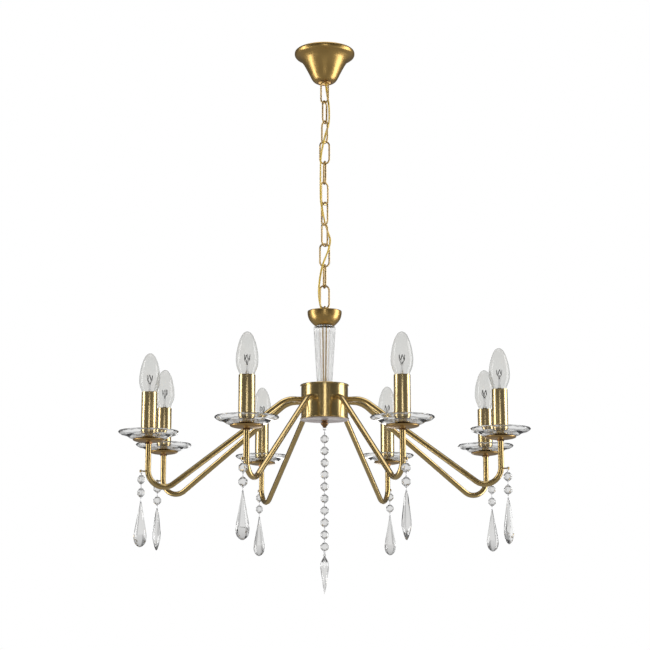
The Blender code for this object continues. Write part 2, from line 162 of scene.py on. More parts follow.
def make_world():
    """White where it is seen directly, and greyer where glass and brass see it."""
    world = bpy.data.worlds.new("studio")
    world.use_nodes = True
    bpy.context.scene.world = world
    nodes = Nodes(world.node_tree)
    path = nodes.add("ShaderNodeLightPath")
    split = nodes.add("ShaderNodeSeparateXYZ")
    nodes.put(split, "Vector", nodes.add("ShaderNodeTexCoord").outputs["Generated"])
    x, y, z = split.outputs
    # Through glass the studio is darker away from the horizon, with eight upright bands.
    steep = nodes.ranged(nodes.math("ABSOLUTE", z), 0.16, 0.6, 0.0, 0.5)
    turn = nodes.math("MULTIPLY", nodes.math("ARCTAN2", y, x), 8.0)
    band = nodes.math("MAXIMUM", nodes.math("MULTIPLY", nodes.math("COSINE", turn), -1.0), 0.0)
    band = nodes.math("MULTIPLY", nodes.math("POWER", band, 6.0), 0.4)
    through = nodes.math("SUBTRACT", nodes.math("SUBTRACT", 1.0, steep), band)
    through = nodes.math("MAXIMUM", through, 0.32)
    # In mirrors and on diffuse surfaces it is brighter below the horizon than above.
    mirrored = nodes.ranged(z, -0.6, 0.0, 0.38, 0.135)
    seen = nodes.add("ShaderNodeMix", Factor=path.outputs["Is Transmission Ray"])
    nodes.put(seen, "2", mirrored)
    nodes.put(seen, "3", through)
    seen = seen.outputs[0]
    direct = nodes.add("ShaderNodeMix", Factor=path.outputs["Is Camera Ray"])
    nodes.put(direct, "2", seen)
    nodes.put(direct, "3", 1.0)
    background = nodes.add("ShaderNodeBackground", Color=(1, 1, 1, 1))
    nodes.put(background, "Strength", direct.outputs[0])
    output = nodes.add("ShaderNodeOutputWorld")
    nodes.put(output, "Surface", background.outputs[0])


def strip_light(name, azimuth, distance, width, height, level, radiance):
    """An upright soft strip that faces the object. radiance is a quarter of its watts per square metre."""
    light = bpy.data.lights.new(name, "AREA")
    light.shape = "RECTANGLE"
    light.size, light.size_y = width, height
    light.energy = radiance * 4 * width * height
    obj = bpy.data.objects.new(name, light)
    angle = math.radians(azimuth)
    outward = Vector((math.cos(angle), math.sin(angle), 0))
    obj.location = (distance * math.cos(angle), distance * math.sin(angle), level)
    obj.rotation_euler = (-outward).to_track_quat("-Z", "Y").to_euler()
    obj.visible_camera = False
    obj.visible_transmission = False
    bpy.context.scene.collection.objects.link(obj)
    return obj


def make_lights():
    """Four soft strips round the object and a panel over it. Lengths are in metres."""
    strip_light("left_strip", 184, 2.4, 0.8, 3.2, -0.6, 4.0)
    strip_light("right_strip", 2, 2.4, 1.3, 3.2, -0.6, 3.6)
    strip_light("front_strip", -88, 3.4, 0.4, 2.6, -0.5, 2.8)
    strip_light("back_strip", 90, 3.4, 0.3, 2.6, -0.5, 2.0)
    top = strip_light("top_panel", 0, 0.01, 1.8, 1.8, 1.5, 1.6)
    top.rotation_euler = (0, 0, 0)


FLOOR_RADIUS = 9.0  # metres
FLOOR_LEVEL = -2.5  # metres


def make_floor():
    """A pale floor that only the camera sees, so that the glass and brass keep the studio's light."""
    mesh = bpy.data.meshes.new("floor")
    shape = bmesh.new()
    bmesh.ops.create_circle(shape, cap_ends=True, segments=96, radius=FLOOR_RADIUS)
    bmesh.ops.translate(shape, vec=(0, 0, FLOOR_LEVEL), verts=shape.verts)
    shape.to_mesh(mesh)
    shape.free()
    floor = bpy.data.objects.new("floor", mesh)
    bpy.context.scene.collection.objects.link(floor)
    material = bpy.data.materials.new("floor")
    material.use_nodes = True
    shader = material.node_tree.nodes["Principled BSDF"]
    shader.inputs["Base Color"].default_value = (0.86, 0.85, 0.84, 1)
    shader.inputs["Roughness"].default_value = 0.7
    shader.inputs["Emission Color"].default_value = (1.0, 0.99, 0.98, 1)
    shader.inputs["Emission Strength"].default_value = 0.55
    mesh.materials.append(material)
    floor.visible_glossy = False
    floor.visible_transmission = False
    floor.visible_diffuse = False


# ---- Materials


def new_material(name):
    material = bpy.data.materials.new(name)
    material.use_nodes = True
    nodes = Nodes(material.node_tree)
    shader = nodes.add("ShaderNodeBsdfPrincipled")
    output = nodes.add("ShaderNodeOutputMaterial")
    nodes.put(output, "Surface", shader.outputs[0])
    place = nodes.add("ShaderNodeTexCoord").outputs["Object"]
    return material, nodes, shader, place


def bumped(nodes, shader, height, distance):
    bump = nodes.add("ShaderNodeBump", Distance=distance, Strength=1.0)
    nodes.put(bump, "Height", height)
    nodes.put(shader, "Normal", bump.outputs["Normal"])


BRUSHED = (260, 260, 5200)  # a fine grain, closest together along Z


def brass(name, light, dark, smoothest, roughest, grain=BRUSHED, bump=0.00001, coat=0.12):
    """Lacquered brushed brass: a cloudy patina, a fine grain and uneven gloss. bump is in metres."""
    material, nodes, shader, place = new_material(name)
    cloud = nodes.noise(place, 22.0, 4.0, 0.6)
    fine = nodes.noise(nodes.scaled(place, grain), 1.0, 2.0, 0.6)
    tone = nodes.math("ADD", nodes.math("MULTIPLY", cloud, 0.94), nodes.math("MULTIPLY", fine, 0.06))
    nodes.put(shader, "Base Color", nodes.ramp(tone, [(0.34, dark), (0.62, light)]))
    nodes.put(shader, "Roughness", nodes.ranged(nodes.noise(place, 60.0, 3.0), 0.3, 0.7, smoothest, roughest))
    shader.inputs["Metallic"].default_value = 1.0
    shader.inputs["Coat Weight"].default_value = coat
    shader.inputs["Coat Roughness"].default_value = 0.12
    bumped(nodes, shader, fine, bump)
    return material


def glass(name, colour, ior, roughest, ripple, ripple_scale, specular=0.5):
    """Clear glass with a very faint tint drift and a slightly uneven surface. ripple is in metres."""
    material, nodes, shader, place = new_material(name)
    drift = nodes.noise(place, 35.0, 2.0)
    cooler = tuple(value * tint for value, tint in zip(colour, (0.985, 0.995, 1.0)))
    nodes.put(shader, "Base Color", nodes.ramp(drift, [(0.35, cooler), (0.65, colour)]))
    nodes.put(shader, "Roughness", nodes.ranged(nodes.noise(place, 90.0), 0.4, 0.7, 0.0, roughest))
    shader.inputs["Transmission Weight"].default_value = 1.0
    shader.inputs["IOR"].default_value = ior
    shader.inputs["Specular IOR Level"].default_value = specular
    bumped(nodes, shader, nodes.noise(place, ripple_scale, 1.0), ripple)
    return material


def plain(name, light, dark, roughness, metallic=0.0, scale=40.0, coat=0.0, specular=0.5):
    """A solid finish with a soft cloud of two tones and a fine surface."""
    material, nodes, shader, place = new_material(name)
    cloud = nodes.noise(place, scale, 4.0, 0.6)
    nodes.put(shader, "Base Color", nodes.ramp(cloud, [(0.35, dark), (0.65, light)]))
    nodes.put(shader, "Roughness", nodes.ranged(cloud, 0.3, 0.7, roughness * 0.8, roughness * 1.2))
    shader.inputs["Metallic"].default_value = metallic
    shader.inputs["Coat Weight"].default_value = coat
    shader.inputs["Specular IOR Level"].default_value = specular
    bumped(nodes, shader, nodes.noise(place, 900.0, 2.0), 0.00002)
    return material


SATIN = brass("satin_brass", (0.49, 0.32, 0.108), (0.45, 0.29, 0.095), 0.31, 0.36, bump=0.000001)
TUBE = brass(
    "tube_brass", (0.585, 0.425, 0.18), (0.535, 0.385, 0.155), 0.2, 0.23, bump=0.0000001, coat=0.3,
)
# The sleeves' brass is the tube brass made lighter: painted sheen that stands in for the wider highlights the
# sleeves catch.
SLEEVE_BRASS_PAINTED_SHEEN = brass(
    "sleeve_brass_painted_sheen", (0.76, 0.585, 0.29), (0.72, 0.55, 0.265), 0.25, 0.28, bump=0.0000001, coat=0.35,
)
CUP_BRASS = brass("cup_brass", (0.50, 0.32, 0.12), (0.40, 0.25, 0.09), 0.3, 0.4, bump=0.000003)
DARK_BRASS = brass("dark_brass", (0.34, 0.19, 0.08), (0.20, 0.10, 0.045), 0.18, 0.3)
CHAIN_BRASS = brass(
    "chain_brass", (0.60, 0.43, 0.19), (0.50, 0.34, 0.14), 0.22, 0.3,
    grain=(900, 900, 900), bump=0.0000004, coat=0.3,
)
CRYSTAL = glass("cut_crystal", (0.75, 0.745, 0.735), 1.54, 0.01, 0.000004, 160.0)
DISH_GLASS = glass("dish_crystal", (0.845, 0.843, 0.835), 1.52, 0.015, 0.000006, 120.0)
COLUMN_GLASS = glass("column_crystal", (0.88, 0.876, 0.864), 1.5, 0.02, 0.000008, 90.0)
BULB_GLASS = glass("bulb_glass", (0.83, 0.825, 0.81), 1.3, 0.03, 0.000003, 70.0, 0.2)
STEM_GLASS = glass("stem_glass", (0.86, 0.86, 0.87), 1.5, 0.05, 0.00001, 200.0)
SILVER = plain("silver_wire", (0.72, 0.72, 0.73), (0.5, 0.5, 0.52), 0.2, 1.0, 300.0)
ZINC = plain("zinc_plate", (0.62, 0.63, 0.65), (0.48, 0.49, 0.5), 0.4, 1.0, 120.0)
TUNGSTEN = plain("filament_wire", (0.16, 0.15, 0.15), (0.08, 0.08, 0.08), 0.5, 0.7, 500.0)
PALE = plain("pale_plate", (0.56, 0.495, 0.48), (0.50, 0.44, 0.425), 0.5, 0.0, 18.0, specular=0.15)
PORCELAIN = plain("holder_plastic", (0.84, 0.82, 0.76), (0.76, 0.74, 0.68), 0.45)
FLEX = plain("gold_flex", (0.95, 0.67, 0.11), (0.88, 0.59, 0.07), 0.22, 0.0, 260.0, coat=0.5)


# ---- Shapes, as (points, faces) in millimetres


def lathe(profile, steps=64, closed=False):
    """The surface that the profile (r, z) sweeps round Z."""
    points, rows = [], []
    for r, z in profile:
        if r < 1e-6:
            rows.append([len(points)] * steps)
            points.append(Vector((0, 0, z)))
            continue
        rows.append(range(len(points), len(points) + steps))
        for i in range(steps):
            angle = 2 * math.pi * i / steps
            points.append(Vector((r * math.cos(angle), r * math.sin(angle), z)))
    faces = []
    for upper, lower in zip(rows, [*rows[1:], *(rows[:1] if closed else [])]):
        for i in range(steps):
            j = (i + 1) % steps
            corners = list(dict.fromkeys((upper[i], lower[i], lower[j], upper[j])))
            if len(corners) > 2:
                faces.append(corners)
    return points, faces


def smooth(points, per_span=4):
    """Points on a Catmull-Rom curve through the given points, of any dimension."""
    points = [Vector(point) for point in points]
    ends = [points[0], *points, points[-1]]
    line = []
    for a, b, c, d in zip(ends, ends[1:], ends[2:], ends[3:]):
        slope, squared, cubed = c - a, 2 * a - 5 * b + 4 * c - d, 3 * b - a - 3 * c + d
        for step in range(per_span):
            t = step / per_span
            line.append((2 * b + slope * t + squared * t**2 + cubed * t**3) / 2)
    return [*line, points[-1]]


def shelled(outline, wall):
    """A closed profile of a wall: down the outline, then back up inside it."""
    outline = [Vector(point) for point in outline]
    inner = []
    for i, point in enumerate(outline):
        along = (outline[min(i + 1, len(outline) - 1)] - outline[max(i - 1, 0)]).normalized()
        inner.append(point + wall * Vector((along.y, -along.x)))
    return [*outline, *reversed(inner)]


def circle(radius, sides):
    angles = [2 * math.pi * i / sides for i in range(sides)]
    return [(radius * math.cos(a), radius * math.sin(a)) for a in angles]


def tube_faces(count, sides, cyclic=False):
    """The faces of a tube of that many rows of points, with a cap on each end unless it is cyclic."""
    faces = []
    for i in range(count if cyclic else count - 1):
        one, two = i * sides, (i + 1) % count * sides
        for k in range(sides):
            faces.append([one + k, one + (k + 1) % sides, two + (k + 1) % sides, two + k])
    if not cyclic:
        faces += [list(range(sides)), list(range((count - 1) * sides, count * sides))]
    return faces


def sweep(path, section, cyclic=False, turns=0.0):
    """The section (a, b) carried along the path, turning evenly by a number of turns in all."""
    path = [Vector(point) for point in path]
    count, sides = len(path), len(section)
    tangents = []
    for i in range(count):
        if cyclic:
            tangents.append((path[(i + 1) % count] - path[i - 1]).normalized())
        else:
            tangents.append((path[min(i + 1, count - 1)] - path[max(i - 1, 0)]).normalized())
    across = tangents[0].orthogonal().normalized()
    points = []
    for i, (place, along) in enumerate(zip(path, tangents)):
        if i:
            across = tangents[i - 1].rotation_difference(along) @ across
        across = (across - along * across.dot(along)).normalized()
        turned = Matrix.Rotation(2 * math.pi * turns * i / max(count - 1, 1), 3, along) @ across
        other = along.cross(turned)
        points += [place + (a * turned + b * other) for a, b in section]
    return points, tube_faces(count, sides, cyclic)


def hull(points):
    """The cut stone with these corners: flat facets meeting in sharp edges."""
    shape = bmesh.new()
    for point in points:
        shape.verts.new(point)
    found = bmesh.ops.convex_hull(shape, input=shape.verts)
    inside = [v for v in found["geom_interior"] if isinstance(v, bmesh.types.BMVert)]
    bmesh.ops.delete(shape, geom=inside, context="VERTS")
    bmesh.ops.dissolve_limit(shape, angle_limit=math.radians(0.6), verts=shape.verts, edges=shape.edges)
    shape.verts.index_update()
    made = [v.co.copy() for v in shape.verts], [[v.index for v in face.verts] for face in shape.faces]
    shape.free()
    return made


def ring(radius, wire, place=(0, 0, 0), turn=0.0, sides=28):
    """A standing wire ring with its plane along X before the turn about Z."""
    angles = [2 * math.pi * i / sides for i in range(sides)]
    path = [(radius * math.cos(a), 0, radius * math.sin(a)) for a in angles]
    return placed(sweep(path, circle(wire, 10), cyclic=True), place, turn)


def placed(shape, place=(0, 0, 0), turn=0.0, tilt=0.0):
    """A copy, tilted about Y, then turned about Z, both in degrees, then moved."""
    turning = Matrix.Rotation(math.radians(turn), 4, "Z") @ Matrix.Rotation(math.radians(tilt), 4, "Y")
    matrix = Matrix.Translation(place) @ turning
    return [matrix @ Vector(point) for point in shape[0]], shape[1]


def joined(*shapes):
    points, faces = [], []
    for shape in shapes:
        base = len(points)
        points += shape[0]
        faces += [[base + i for i in face] for face in shape[1]]
    return points, faces


def piece(name, shape, material, body, replaces=(), sharp=35.0):
    """A finished piece that rides on its body, if it has one.

    sharp is the angle in degrees over which an edge stays hard.
    """
    mesh = bpy.data.meshes.new(name)
    mesh.from_pydata([Vector(point) * MM for point in shape[0]], [], shape[1])
    skin = bmesh.new()
    skin.from_mesh(mesh)
    bmesh.ops.recalc_face_normals(skin, faces=skin.faces)
    skin.to_mesh(mesh)
    skin.free()
    mesh.shade_smooth()
    mesh.set_sharp_from_angle(angle=math.radians(sharp))
    mesh.materials.append(material)
    obj = bpy.data.objects.new(name, mesh)
    bpy.context.scene.collection.objects.link(obj)
    if body:
        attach(obj, body)
    if replaces:
        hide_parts(*replaces)
    return obj


# ---- Ceiling end

CANOPY_OUTLINE = [
    (49, 0), (51.8, -0.5), (53.2, -1.7), (53.7, -3.8), (53.6, -6.2), (52.8, -8.3), (51.0, -10.0),
    (48.4, -11.6), (46.2, -13.1), (44.0, -15.0), (41.9, -17.0), (40.1, -19.2), (38.3, -21.8),
    (36.3, -25.2), (34, -29.4), (31.5, -34.2), (28.3, -40.5), (25.0, -47.4), (22.4, -52.2),
    (19.8, -55.6), (16.6, -57.9), (13, -58.8),
]
CANOPY_WALL = 1.2
LOOP_RADIUS = 6.5
LOOP_WIRE = 1.5
YAW_FIRST = 52  # the canopy loop's turn in degrees
YAW_LAST = 107  # the bowl loop's turn in degrees
SCREW_REACH = 35  # from the middle of the crossbar to each screw
STUD_R = 3.9


def make_ceiling_end():
    piece("canopy_shell", lathe(shelled(smooth(CANOPY_OUTLINE, 3), CANOPY_WALL), 128, True), SATIN,
          "ceiling_mount", ["canopy"])
    grommet = [(13.4, -58.2), (13.4, -59.2), (12.6, -59.7), (11.6, -59.4), (11.4, -58.4), (12, -57.6)]
    piece("canopy_grommet", lathe(grommet, 64, True), DARK_BRASS, "ceiling_mount")
    bar = frame["nodes"]["ceiling_crossbar"]
    bar.data.materials.clear()
    bar.data.materials.append(ZINC)
    heads = []
    for side in (-1, 1):
        head = [(0, -5.6), (2.2, -5.4), (3.6, -4.6), (3.9, -3.4), (3.9, -3.05), (0, -3.05)]
        heads.append(placed(lathe(head, 32), (side * SCREW_REACH, 0, 0)))
    piece("crossbar_screws", joined(*heads), ZINC, "ceiling_mount")
    top = joint_level("chain_1_swing") + LOOP_RADIUS
    stud_low = top + LOOP_RADIUS - 0.6
    stud = lathe([(0, -3.3), (STUD_R, -3.3), (STUD_R, stud_low), (0, stud_low)], 32)
    nut_low = top + LOOP_RADIUS + 8
    nut_line = [
        (0, nut_low + 5), (6.6, nut_low + 5), (7.5, nut_low + 4.4), (7.5, nut_low + 0.6), (6.6, nut_low),
        (0, nut_low),
    ]
    nut = lathe(nut_line, 6)
    hoop = ring(LOOP_RADIUS, LOOP_WIRE, (0, 0, top), YAW_FIRST, 36)
    piece("canopy_hook_loop", joined(stud, nut, hoop), CHAIN_BRASS, "ceiling_mount", ["canopy_loop"])


# ---- Chain and flex

LINK_YAWS = [-38, 65, -54, 0, -78, 46, -51, 54, 5, -78, 17]  # degrees about Z, from the top link down
LINK_LENGTH = 44.1
LINK_WIDTH = 19.5
LINK_WIRE = 3.2
LINK_GAP = 0.6  # between two links where a hinge is
JOINED_OVERLAP = 0.15  # how far two links on one body sink into each other


def make_chain():
    """Each link hangs in the one above it. Two in a row ride on one body, as in the CAD."""
    bend = (LINK_WIDTH - LINK_WIRE) / 2
    straight = (LINK_LENGTH - LINK_WIDTH) / 2
    route = []
    for side in (1, -1):
        for i in range(17):
            angle = math.pi * i / 16
            route.append((side * bend * math.cos(angle), 0, side * (straight + bend * math.sin(angle))))
        route.append((-side * bend, 0, side * straight / 3))
    link = sweep(route, circle(LINK_WIRE / 2, 14), cyclic=True)
    inner = LINK_LENGTH - LINK_WIRE
    level = high("chain_links_1") - LINK_LENGTH / 2
    for number, yaw in enumerate(LINK_YAWS):
        pair = number // 2 + 1
        first = number % 2 == 0
        piece(f"chain_link_{number + 1:02d}", placed(link, (0, 0, level), yaw), CHAIN_BRASS, f"chain_{pair}",
              [f"chain_links_{pair}"] if first else ())
        level -= inner - LINK_WIRE + (JOINED_OVERLAP if first else -LINK_GAP)


FLEX_ROUTE = [  # where the flex's middle line passes, given point by point
    (2.5, 9, -40), (2.5, 9, -60), (5, 8.5, -80), (7.6, 6.5, -100), (8.2, 4.8, -122), (7, 3, -136),
    (3.6, 0, -148), (1, -4, -158), (-1.2, -9.4, -170), (-4, -10.8, -183), (-6.6, -10.5, -202),
    (-7.2, -10.5, -228), (-7.2, -10.5, -252), (-6.6, -9.5, -278), (-4.6, -4.5, -290), (-2.8, 1.5, -299),
    (-0.6, 7, -309), (2.4, 11, -320), (6, 11.6, -332), (9.3, 6.4, -343), (9.3, -1.5, -354),
    (7, -7.5, -366), (3.5, -10, -377), (-1.5, -11.8, -390), (-5, -10.8, -402), (-8, -9, -418),
    (-10, -8, -438), (-9.2, -8, -457), (-6.5, -8.2, -472), (-6, -8.2, -486), (-6, -8.2, -500.3),
]
FLEX_CORE_R = 1.4
FLEX_WEB = 0.4  # from the flex's middle line to each core's
FLEX_TURNS = 2.5
FLEX_ROUNDING = 0.86  # how much of a half circle each core's outer side is


def make_flex():
    """A flat two-core flex that twists as it winds through the chain.

    It is in stretches that meet halfway between one hinge and the next, and none of them rides on a body.
    """
    path = smooth(FLEX_ROUTE, 8)
    section = []
    for side in (1, -1):
        for i in range(9):
            angle = math.pi * (i / 8 - 0.5) * FLEX_ROUNDING
            outward = FLEX_WEB + FLEX_CORE_R * math.cos(angle)
            section.append((side * outward, side * FLEX_CORE_R * math.sin(angle)))
    points, _ = sweep(path, section, turns=FLEX_TURNS)
    levels = [joint_level(f"chain_{k}_swing") for k in range(1, 7)] + [joint_level("fixture_swing")]
    joins = [(one + two) / 2 for one, two in zip(levels, levels[1:])]
    tops = [path[0].z, *joins]
    lows = [*joins, path[-1].z]
    sides = len(section)
    for number, (top, bottom) in enumerate(zip(tops, lows)):
        rows = [i for i, point in enumerate(path) if bottom - 1e-6 <= point.z <= top + 1e-6]
        rows = range(max(rows[0] - (number > 0), 0), rows[-1] + 1)
        made = [points[i * sides + k] for i in rows for k in range(sides)]
        faces = tube_faces(len(rows), sides)
        stretch = piece(f"flex_stretch_{number + 1}", (made, faces), FLEX, None,
                        [] if number else ["supply_flex"], 60)
        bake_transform(stretch)


# ---- Bowl, column and hub

BOWL_OUTLINE = [
    (29.1, -475.3), (29.7, -475.9), (29.8, -478), (29.5, -481.2), (28.9, -484.6), (27.8, -488),
    (26.0, -491.4), (23.6, -494.6), (21.0, -497.4), (18.6, -499.6), (16.9, -501), (15.9, -502),
]
BOWL_WALL = 1.4
BOWL_FOOT_R = 14.8
EYE_STEM_R = 2.9
COLUMN_BORE = 5.0
COLUMN_SHOULDER_R = 18.8
COLUMN_FOOT_R = 13.4
COLUMN_ROWS = 10  # down the taper
REEDS = 26
REED_DEPTH = 0.042  # as a share of the radius
TUBE_R = 3.5


def reeded(profile, reeds, depth, steps):
    """A lathed shape whose outer wall carries upright rounded reeds, which fade out towards its bore."""
    points, faces = lathe(profile, steps, True)
    made = []
    for point in points:
        r = math.hypot(point.x, point.y)
        share = min(max((r - COLUMN_BORE - 1) / 6, 0), 1)
        wave = 1 - abs(math.cos(reeds / 2 * math.atan2(point.y, point.x)))
        scale = 1 - depth * share * wave
        made.append(Vector((point.x * scale, point.y * scale, point.z)))
    return made, faces


def make_bowl_and_column():
    floor = low("bowl")
    inner = [(r - BOWL_WALL, max(z, floor + BOWL_WALL)) for r, z in BOWL_OUTLINE[1:]]
    line = [(0, floor + BOWL_WALL), *inner[::-1], *BOWL_OUTLINE, (BOWL_FOOT_R, floor), (0, floor)]
    piece("bowl_shell", lathe(line, 128), SATIN, "fixture", ["bowl"], 50)
    top = high("bowl_loop") - LOOP_WIRE
    hoop = ring(LOOP_RADIUS, LOOP_WIRE, (0, 0, top - LOOP_RADIUS), YAW_LAST, 36)
    base = low("bowl_loop")
    stem_top = top - 2 * LOOP_RADIUS + 0.8
    stem = lathe([(0, stem_top), (EYE_STEM_R, stem_top), (EYE_STEM_R, base), (0, base)], 32)
    nut_line = [(0, base + 4), (5.4, base + 4), (6, base + 3.5), (6, base + 0.4), (5.4, base), (0, base)]
    nut = lathe(nut_line, 6)
    piece("bowl_eye", joined(hoop, stem, nut), CHAIN_BRASS, "fixture", ["bowl_loop"])

    top, bottom = high("glass_column"), low("glass_column")
    shoulder = Vector((COLUMN_SHOULDER_R, top - 9))
    foot = Vector((COLUMN_FOOT_R, bottom + 3))
    line = [(COLUMN_BORE, top), (16.6, top), (18.6, top - 1.5), (19.3, top - 4.5)]
    line += [shoulder.lerp(foot, i / COLUMN_ROWS) for i in range(COLUMN_ROWS + 1)]
    line += [(12.6, bottom + 0.6), (12.0, bottom), (COLUMN_BORE, bottom)]
    piece("column_glass", reeded(line, REEDS, REED_DEPTH, REEDS * 8), COLUMN_GLASS, "fixture",
          ["glass_column"], 22)
    top, bottom = high("centre_tube"), low("centre_tube")
    line = [
        (0, top), (TUBE_R - 0.4, top), (TUBE_R, top - 0.4), (TUBE_R, bottom + 0.4), (TUBE_R - 0.4, bottom),
        (0, bottom),
    ]
    piece("column_tube", lathe(line, 48), SATIN, "fixture", ["centre_tube"])


HUB_R = 40.4
HUB_WALL = 1.5
HUB_LIP_R = 42.1


def make_hub():
    top, bottom = high("hub_top_cap"), low("hub_top_cap")
    line = [
        (0, top), (14, top), (14.4, top - 0.5), (HUB_LIP_R - 2.4, top - 0.5), (HUB_LIP_R - 1.2, top - 0.8),
        (HUB_LIP_R - 0.4, top - 1.5), (HUB_LIP_R, top - 2.4), (HUB_LIP_R, bottom + 0.5),
        (HUB_LIP_R - 0.5, bottom), (0, bottom),
    ]
    piece("hub_cap", lathe(line, 128), TUBE, "fixture", ["hub_top_cap"], 30)
    top, bottom = high("hub_drum"), low("hub_drum")
    wall = [(HUB_R, top), (HUB_R, bottom), (HUB_R - HUB_WALL, bottom), (HUB_R - HUB_WALL, top)]
    piece("hub_wall", lathe(wall, 128, True), TUBE, "fixture", ["hub_drum"])
    top, bottom = high("hub_bottom_plate"), low("hub_bottom_plate")
    rim = [
        (HUB_LIP_R - 3, top), (HUB_LIP_R - 0.6, top), (HUB_LIP_R, top - 0.6), (HUB_LIP_R, top - 1.7),
        (HUB_LIP_R - 0.5, top - 2.2), (HUB_LIP_R - 3, top - 2.2),
    ]
    piece("hub_lower_rim", lathe(rim, 128, True), TUBE, "fixture", ["hub_bottom_plate"])
    r = HUB_LIP_R - 0.7
    disc = [(0, top - 0.4), (HUB_LIP_R - 3.1, top - 0.4), (HUB_LIP_R - 3.1, top - 2.3), (r, top - 2.3),
            (r, bottom + 0.7), (r - 0.8, bottom), (0, bottom)]
    piece("hub_lower_disc", lathe(disc, 128), PALE, "fixture")


FINIAL_OUTLINE = [
    (5.6, -666.5), (5.8, -667.0), (5.6, -668.1), (4.4, -668.8), (3.9, -669.4), (4.9, -670.0),
    (6.3, -670.7), (6.8, -671.8), (6.3, -673.2), (5.0, -675.0), (3.6, -676.8), (2.4, -678.4), (1.2, -679.6),
]


def make_finial():
    body = lathe([(0, -666.5), *smooth(FINIAL_OUTLINE, 3), (0, -679.9)], 64)
    piece("finial_body", body, DARK_BRASS, "fixture", ["finial"], 50)
    level = joint_level("strand_swing") + 2.2
    piece("finial_ring", ring(3.0, 0.6, (0, 0, level)), SILVER, "fixture")


# ---- Arms

ARM_TUBE_R = 4.7
ARM_LEVEL = -632.5
SHOULDER_START = 55.0
SHOULDER_RADIUS = 45.0
BEND_RADIUS = 27.0
BEND_LEVEL = -759.6
RISER_TOP = -714.0
CUP_WALL = 1.2
SEAT_TOP = -696.3
PEG_LEVEL = -762.0
PEG_REACH = 14.0
SLEEVE_R = 13.0
SLEEVE_WALL = 0.9


def arm_route(arm_radius, rise):
    """The arm's middle line along +X, from inside the hub to the riser's top.

    Its outer end, with the bend and the riser, is raised by rise.
    """
    shoulder = Vector((SHOULDER_START, ARM_LEVEL - SHOULDER_RADIUS))
    bend = Vector((arm_radius - BEND_RADIUS, BEND_LEVEL + rise))
    between = bend - shoulder
    slope = math.atan2(-between.y, between.x) + math.asin((SHOULDER_RADIUS + BEND_RADIUS) / between.length)
    route = [(HUB_R - 0.9, 0, ARM_LEVEL), (HUB_R + 6, 0, ARM_LEVEL)]
    for i in range(13):
        angle = slope * i / 12
        x = shoulder.x + SHOULDER_RADIUS * math.sin(angle)
        route.append((x, 0, shoulder.y + SHOULDER_RADIUS * math.cos(angle)))
    last = Vector(route[-1])
    angle = -math.pi / 2 - slope
    first = Vector((bend.x + BEND_RADIUS * math.cos(angle), 0, bend.y + BEND_RADIUS * math.sin(angle)))
    route += [last.lerp(first, i / 6) for i in range(1, 6)]
    for i in range(29):
        angle = (math.pi / 2 + slope) * (i / 28 - 1)
        route.append((bend.x + BEND_RADIUS * math.cos(angle), 0, bend.y + BEND_RADIUS * math.sin(angle)))
    route.append((arm_radius, 0, BEND_LEVEL + rise + 20))
    route.append((arm_radius, 0, RISER_TOP + rise + 0.2))
    return route


def arm_shapes(arm_radius):
    """The brass parts that every arm shares, at their place along +X."""
    collar_line = [(ARM_TUBE_R, 0), (5.9, 0), (6.2, 0.4), (6.2, 1.5), (5.8, 1.9), (ARM_TUBE_R, 1.9)]
    collar = placed(lathe(collar_line, 40, True), (HUB_R - 0.05, 0, ARM_LEVEL), tilt=90)
    outline = [
        (7.4, -714.0), (11.2, -713.7), (15.2, -713.1), (19.0, -712.4), (22.4, -711.5), (24.3, -710.6),
        (24.9, -709.5),
    ]
    cup_line = [(0, RISER_TOP), *shelled(smooth(outline, 3), CUP_WALL), (0, RISER_TOP + CUP_WALL)]
    cup = placed(lathe(cup_line, 72), (arm_radius, 0, 0))
    nut_line = [
        (4.8, -717.5), (5.6, -717.5), (6.2, -716.9), (6.2, -714.6), (5.6, RISER_TOP), (4.8, RISER_TOP),
    ]
    nut = placed(lathe(nut_line, 6, True), (arm_radius, 0, 0), 30)
    neck_line = [
        (0, -712.8), (8.6, -712.8), (8.6, -711.4), (7.2, -710.4), (6.5, -708.6), (6.5, -702), (7.4, -699.4),
        (9, -698.1), (12.4, -697.9), (SLEEVE_R, -697.3), (SLEEVE_R, SEAT_TOP), (0, SEAT_TOP),
    ]
    neck = placed(lathe(neck_line, 48), (arm_radius, 0, 0))
    peg_line = [
        (0, 3.6), (1.25, 3.6), (1.25, 11.6), (2.2, 12.0), (2.4, 12.6), (2.2, 13.5), (1.2, PEG_REACH),
        (0, PEG_REACH),
    ]
    peg = placed(lathe(peg_line, 24), (arm_radius, 0, PEG_LEVEL), tilt=90)
    return collar, cup, nut, neck, peg


DISH_SIDES = 18


